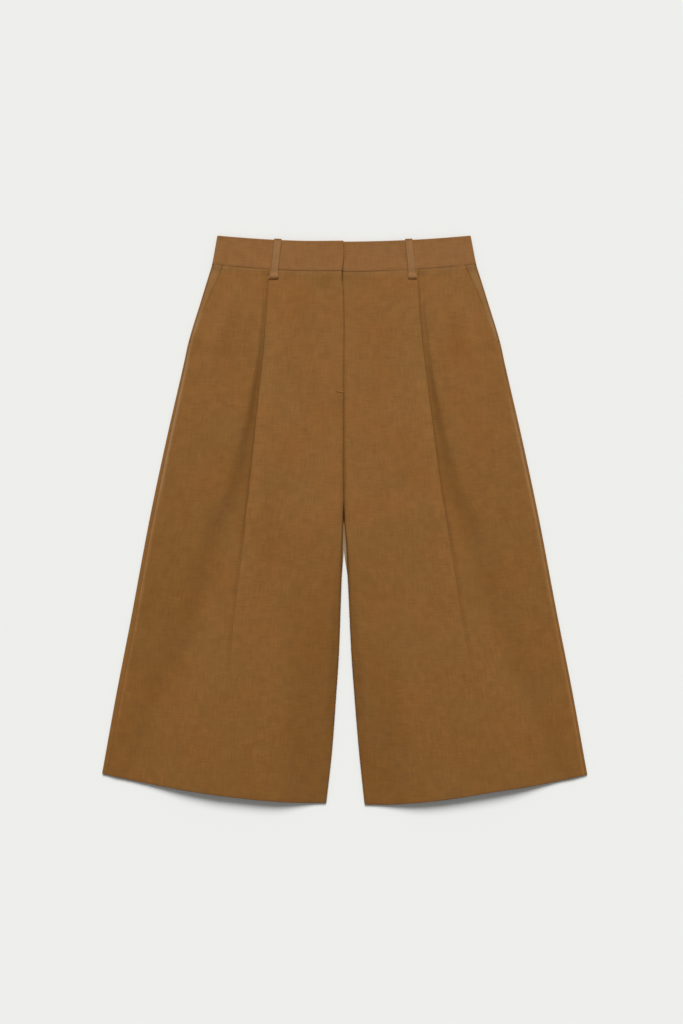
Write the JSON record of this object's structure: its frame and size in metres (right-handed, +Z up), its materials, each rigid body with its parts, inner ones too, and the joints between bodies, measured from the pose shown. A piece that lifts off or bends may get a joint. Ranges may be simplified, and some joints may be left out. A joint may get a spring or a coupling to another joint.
{
  "type": "bermuda shorts",
  "caption": "Wide-leg tailored bermuda shorts laid flat, front up, with a pressed pleat on each leg, slant pockets, a fly lap and belt loops.",
  "frame": {"origin": "on the surface the shorts lie on, under the middle of their outline", "axes": "+Y from the hems towards the waist, +Z up out of the front, +X towards the wearer's left leg"},
  "size_m": [0.6606, 0.7742, 0.0146],
  "materials": {
    "body_cloth": "matt camel-brown plain weave with fine cross slubs",
    "waistband_cloth": "the same plain weave, pressed flat, a shade lighter"
  },
  "bodies": {
    "root": {"front_right": "body_cloth", "back_right": "body_cloth", "waistband_right": "waistband_cloth", "pocket_facing_right": "body_cloth", "belt_loop_front_right": "waistband_cloth", "belt_loop_back_right": "waistband_cloth", "front_left": "body_cloth", "back_left": "body_cloth", "waistband_left": "waistband_cloth", "pocket_facing_left": "body_cloth", "belt_loop_front_left": "waistband_cloth", "belt_loop_back_left": "waistband_cloth", "belt_loop_centre_back": "waistband_cloth"}
  },
  "joints": []
}
